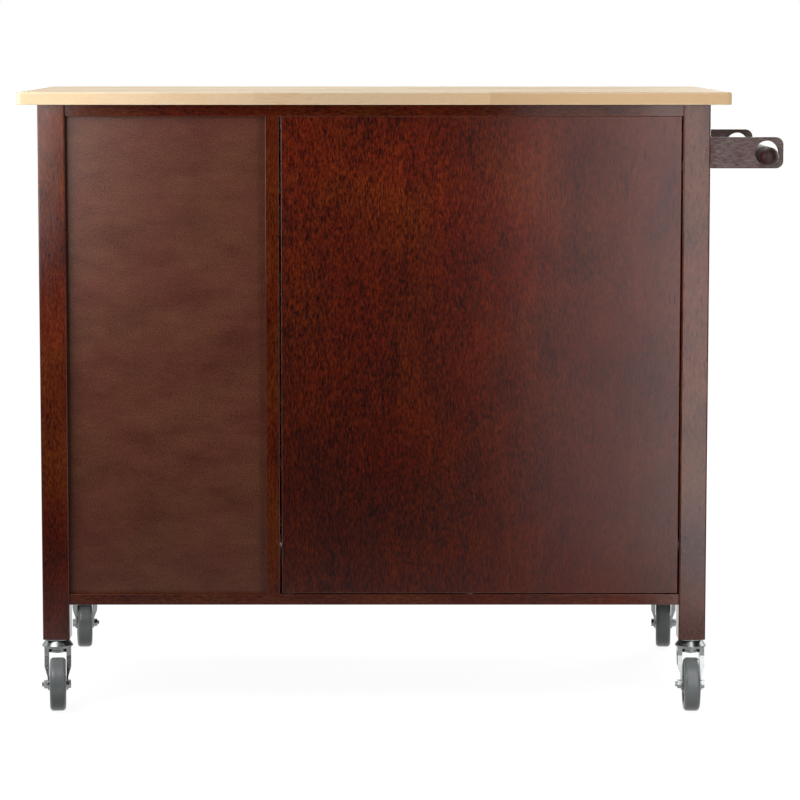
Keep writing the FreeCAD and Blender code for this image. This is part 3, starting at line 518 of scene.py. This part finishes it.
def door_rails(tree, place, low, high):
    """Mask of a door frame's two rails, which stand between its stiles."""
    below = parts(tree, vector_calc(tree, "SUBTRACT", place, low))
    above = parts(tree, vector_calc(tree, "SUBTRACT", high, place))
    from_side = calc(tree, "MINIMUM", below[0], above[0])
    from_end = calc(tree, "MINIMUM", below[2], above[2])
    return calc(tree, "MULTIPLY", calc(tree, "GREATER_THAN", from_side, DOOR_STILE_WIDTH),
                calc(tree, "LESS_THAN", from_end, DOOR_STILE_WIDTH + DOOR_RAIL_OVER))


def stained_wood(piece, axis, finish):
    """Satin stained wood for one piece; its edges take their own tone: partly rubbed stain, partly a
    painted highlight, and painted shade where that tone is darker.
    """
    look = {**USUAL, **STAINED[finish]}
    low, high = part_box(piece)
    material, tree, shader = fresh("stain_" + piece, IOR=WOOD_IOR, Specular_IOR_Level=SATIN_REFLECTION)
    place, facing = object_place(tree)
    shift = [corner * times for corner, times in zip(low, STAIN_SHIFT)]
    shifted = vector_calc(tree, "ADD", place, shift)
    if axis == "framed":
        axis = "Z"
        laid = mixed(tree, door_rails(tree, place, low, high), shifted, swapped(tree, shifted, "X"),
                     "VECTOR")
    else:
        laid = swapped(tree, shifted, axis)
    grain = placed(tree, GRAIN, Place=laid, Wander=look["wander"])
    streaks = look["streaks"]
    if look["fade"]:
        start, end, share = look["fade"]
        across = parts(tree, place)[0]
        streaks = rise(tree, across, MIDDLE.x + start, MIDDLE.x + end, streaks * share, streaks)
    level = grain_level(tree, grain, look["figure"], streaks)
    # Lighter and darker spots: stain blotches, partly painted light and painted shade on the veneer
    for centre, radius, share in look["stain_and_light_spots"]:
        centre = FLOOR_MIDDLE + Vector(centre)
        level = calc(tree, "MULTIPLY", level, spot(tree, place, centre, radius, share))
    level = calc(tree, "MULTIPLY", level, dimmed(tree, end_grain(tree, facing, axis), STAIN_ENDS))
    drift = step(tree, noise(tree, shifted, "stain_drift")["Fac"], "stain_drift")
    body = toned(tree, look["tone"], level, drift)
    # Edge tone: rubbed stain with a painted highlight where it is lighter, and painted shade where it is
    # darker, as on the back legs and the brackets
    edge = placed(tree, EDGES, Place=place, Low=low, High=high, Reach=STAIN_EDGE_REACH)["Edge"]
    body = covered(tree, body, look["edge"], edge, STAIN_EDGE)
    rough = swayed(tree, grain["Figure"], -STAIN_SHEEN, look["roughness"])
    rough = calc(tree, "MULTIPLY_ADD", grain["Pores"], STAIN_PORE_ROUGHNESS, rough)
    surface(tree, shader, body, rough, grain["Relief"], MM)
    return material


def back_board():
    """Thin stained board behind the shelf bay: dull, speckled, with faint mottling."""
    material, tree, shader = fresh("stain_narrow_back_panel", IOR=WOOD_IOR,
                                   Specular_IOR_Level=SATIN_REFLECTION)
    place, _ = object_place(tree)
    marks = placed(tree, FLECKS, Place=place, Size=BACK_BOARD_SPECKLE_SIZE)
    level = swayed(tree, noise(tree, place, "back_board_bands")["Fac"], BACK_BOARD_BANDS, 1.0)
    level = swayed(tree, marks["Speckle"], BACK_BOARD_SPECKLE, level)
    drift = step(tree, noise(tree, place, "back_board_drift")["Fac"], "back_board_drift")
    body = toned(tree, BACK_BOARD_TONE, level, drift)
    rough = step(tree, marks["Speckle"], "back_board_rough")
    surface(tree, shader, body, rough, marks["Height"], BACK_BOARD_RELIEF)
    return material


def worn_coat(tree, grain, facing):
    """Weight of the worktop's clear coat, which is worn with the figure and thin on its sides."""
    upward = step(tree, parts(tree, facing)[2], "coat_facing_up")
    return calc(tree, "MULTIPLY", step(tree, grain["Figure"], "coat_wear"), upward)


def clear_wood(piece, axis, tones, roughness, worktop=False):
    """Clear-finished pale wood: plain, or the worktop's, which is glued up from staves and coated."""
    body, light, streaked, pored = tones
    low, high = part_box(piece)
    material, tree, shader = fresh("clear_" + piece, IOR=WOOD_IOR, Specular_IOR_Level=CLEAR_REFLECTION,
                                   Coat_Roughness=COAT_ROUGHNESS, Coat_IOR=WOOD_IOR)
    place, facing = object_place(tree)
    grain_place = place
    if worktop:
        glued = placed(tree, STAVES, Place=place)
        grain_place = vector_calc(tree, "ADD", place, glued["Offset"])
    grain = placed(tree, GRAIN, Place=swapped(tree, grain_place, axis), Wander=CLEAR_WANDER)
    relief = grain["Relief"]
    body = mixed(tree, step(tree, grain["Figure"], "clear_figure"), body, light)
    body = mixed(tree, step(tree, grain["Streaks"], "clear_streaks"), body, streaked)
    body = covered(tree, body, pored, grain["Pores"], CLEAR_PORES)
    if worktop:
        dark = [level * share for level, share in zip(streaked, DARK_STAVE_SHARES)]
        body = mixed(tree, step(tree, glued["Tint"], "stave_tint"), body, dark)
        body = covered(tree, body, pored, glued["Joint"], CLEAR_JOINTS)
        relief = calc(tree, "MULTIPLY_ADD", glued["Joint"], -WOOD_RELIEF["joints"], relief)
        feed(tree, shader.inputs, {"Coat Weight": worn_coat(tree, grain, facing)})
    body = covered(tree, body, pored, end_grain(tree, facing, axis), CLEAR_ENDS)
    # Lighter edges: rubbed wear with a painted highlight
    edge = placed(tree, EDGES, Place=place, Low=low, High=high, Reach=CLEAR_EDGE_REACH)["Edge"]
    body = covered(tree, body, light, edge, CLEAR_EDGE)
    rough = swayed(tree, grain["Streaks"], CLEAR_STREAK_ROUGHNESS, roughness)
    surface(tree, shader, body, rough, relief, MM)
    return material


def metal(name, tone, dull, roughness, size):
    """Plated or polished metal with a slow cloud of dulling and fine marks."""
    material, tree, shader = fresh(name, Metallic=1.0)
    place, _ = object_place(tree)
    marks = placed(tree, FLECKS, Place=place, Size=size)
    body = mixed(tree, step(tree, marks["Cloud"], "metal_dull"), tone, dull)
    pitted = [level * PIT_SHARE for level in dull]
    body = mixed(tree, step(tree, marks["Speckle"], "metal_pits"), body, pitted)
    rough = swayed(tree, marks["Height"], METAL_SWING, roughness)
    rough = calc(tree, "ADD", rough, step(tree, marks["Cloud"], "metal_rough"))
    surface(tree, shader, body, rough, marks["Height"], METAL_RELIEF)
    return material


def moulded(name, tone, worn, roughness, size):
    """Moulded plastic or rubber with fine texture and scuffs."""
    material, tree, shader = fresh(name, IOR=MOULDED_IOR)
    place, _ = object_place(tree)
    marks = placed(tree, FLECKS, Place=place, Size=size)
    body = mixed(tree, step(tree, marks["Cloud"], "moulded_worn"), tone, worn)
    dusty = [level * DUST_SHARE for level in worn]
    body = mixed(tree, step(tree, marks["Speckle"], "moulded_dust"), body, dusty)
    rough = calc(tree, "ADD", roughness, step(tree, marks["Speckle"], "moulded_rough"))
    surface(tree, shader, body, rough, marks["Height"], MOULDED_RELIEF)
    return material


# Fittings: the ends of their pieces' names, how they are made, tone, the tone of dull or worn places,
# roughness, and size of their marks
FITTINGS = {
    "zinc_plate": (("_fork", "caster_stems"), metal,
                   (0.26, 0.27, 0.27), (0.19, 0.20, 0.20), 0.22, 5 * MM),
    "bolt_zinc": (("_axle",), metal, (0.30, 0.31, 0.31), (0.20, 0.21, 0.21), 0.26, 3 * MM),
    "knob_nickel": (("_knob", "_knobs"), metal,
                    (0.62, 0.60, 0.56), (0.50, 0.48, 0.45), 0.26, 2 * MM),
    "hinge_steel": (("hinge_leaves", "hinge_frame_leaves", "hinge_pins"), metal,
                    (0.46, 0.44, 0.41), (0.36, 0.34, 0.32), 0.36, 2 * MM),
    "lever_steel": (("_brake_lever",), metal, (0.32, 0.33, 0.34), (0.24, 0.25, 0.25), 0.30, 3 * MM),
    "screw_steel": (("_screws", "shelf_pins"), metal,
                    (0.50, 0.50, 0.49), (0.35, 0.35, 0.34), 0.34, 2 * MM),
    "wheel_rubber": (("_wheel",), moulded,
                     (0.158, 0.171, 0.172), (0.185, 0.198, 0.197), 0.30, 1.6 * MM),
    "catch_plastic": (("door_catches",), moulded,
                      (0.62, 0.60, 0.56), (0.56, 0.54, 0.50), 0.4, 2 * MM),
}


def dress(piece, material):
    """Give a CAD node its finish."""
    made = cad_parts[piece]
    if not made.material_slots:
        made.data.materials.append(material)
    for slot in made.material_slots:
        slot.material = material


def dress_all():
    """Give every CAD node its finish."""
    for finish, pieces in STAINED_PIECES.items():
        for piece, axis in pieces.items():
            dress(piece, stained_wood(piece, axis, finish))
    dress("narrow_back_panel", back_board())
    dress("worktop", clear_wood("worktop", "X", WORKTOP_TONES, WORKTOP_ROUGHNESS, worktop=True))
    for piece, axis in DRAWER_PIECES.items():
        dress(piece, clear_wood(piece, axis, DRAWER_TONES, DRAWER_ROUGHNESS))
    for name, (endings, make, *look) in FITTINGS.items():
        material = make(name, *look)
        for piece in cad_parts:
            if piece.endswith(endings):
                dress(piece, material)


def seen(tree, mirrored):
    """Share of white, all for the camera and some where mirrored, and the outputs for kinds of ray."""
    path = tree.nodes.new("ShaderNodeLightPath").outputs
    shown = calc(tree, "MAXIMUM", path["Is Camera Ray"], path["Is Transmission Ray"])
    reflected = calc(tree, "MULTIPLY", path["Is Glossy Ray"], mirrored)
    return calc(tree, "MAXIMUM", shown, reflected), path


def paper():
    """Floor that is white for the camera, and darker towards the back where it is mirrored."""
    mesh = bpy.data.meshes.new("floor")
    reach = PAPER_REACH
    corners = [(-reach, -reach, 0), (reach, -reach, 0), (reach, reach, 0), (-reach, reach, 0)]
    mesh.from_pydata(corners, [], [(0, 1, 2, 3)])
    floor = bpy.data.objects.new("floor", mesh)
    bpy.context.scene.collection.objects.link(floor)
    material = bpy.data.materials.new("floor_paper")
    tree = emptied(material)
    place, _ = object_place(tree)
    white_share, _ = seen(tree, step(tree, parts(tree, place)[1], "paper_mirrored"))
    away = vector_calc(tree, "LENGTH", place)
    glow = calc(tree, "MULTIPLY", white_share, step(tree, away, "paper_glow"))
    white = node(tree, "ShaderNodeEmission", {"Color": WHITE, "Strength": glow})
    matt = node(tree, "ShaderNodeBsdfDiffuse", {"Color": (PAPER_TONE,) * 3})
    both = node(tree, "ShaderNodeAddShader", {0: white.outputs[0], 1: matt.outputs[0]})
    node(tree, "ShaderNodeOutputMaterial", {"Surface": both.outputs[0]})
    mesh.materials.append(material)


def room():
    """Room that is white for the camera, white towards the front where it is mirrored, and else dim."""
    world = bpy.data.worlds.new("studio")
    bpy.context.scene.world = world
    tree = emptied(world)
    way = parts(tree, tree.nodes.new("ShaderNodeTexCoord").outputs["Generated"])
    white_share, path = seen(tree, step(tree, way[1], "room_mirrored"))
    dim = calc(tree, "MULTIPLY", path["Is Diffuse Ray"], ROOM_LIGHT)
    ground = node(tree, "ShaderNodeBackground",
                  {"Color": WHITE, "Strength": calc(tree, "MAXIMUM", white_share, dim)})
    node(tree, "ShaderNodeOutputWorld", {"Surface": ground.outputs[0]})


def lamp(name, place, aim, size, power):
    """Soft rectangular lamp turned to a point, which the camera doesn't see."""
    data = bpy.data.lights.new(name, "AREA")
    data.shape = "RECTANGLE"
    data.size, data.size_y = size
    data.energy = power
    made = bpy.data.objects.new(name, data)
    made.location = FLOOR_MIDDLE + Vector(place)
    made.rotation_euler = (Vector(aim) - Vector(place)).to_track_quat("-Z", "Y").to_euler()
    made.visible_camera = False
    bpy.context.scene.collection.objects.link(made)


def camera():
    """Camera behind the cart, level with its top and looking slightly down."""
    data = bpy.data.cameras.new("camera")
    data.sensor_width = CAMERA_SENSOR
    data.lens = CAMERA_LENS
    data.shift_x, data.shift_y = CAMERA_SHIFT
    data.clip_end = CAMERA_SIGHT
    made = bpy.data.objects.new("camera", data)
    made.location = (MIDDLE.x + CAMERA_ASIDE, MIDDLE.y + CAMERA_AWAY, CAMERA_HEIGHT)
    made.rotation_euler = (math.radians(90 - CAMERA_PITCH_DEG), 0, math.pi)
    bpy.context.scene.collection.objects.link(made)
    bpy.context.scene.camera = made


dress_all()
paper()
room()
for lamp_name, lamp_look in LAMPS.items():
    lamp(lamp_name, *lamp_look)
camera()
bpy.context.scene.view_settings.view_transform = "Standard"
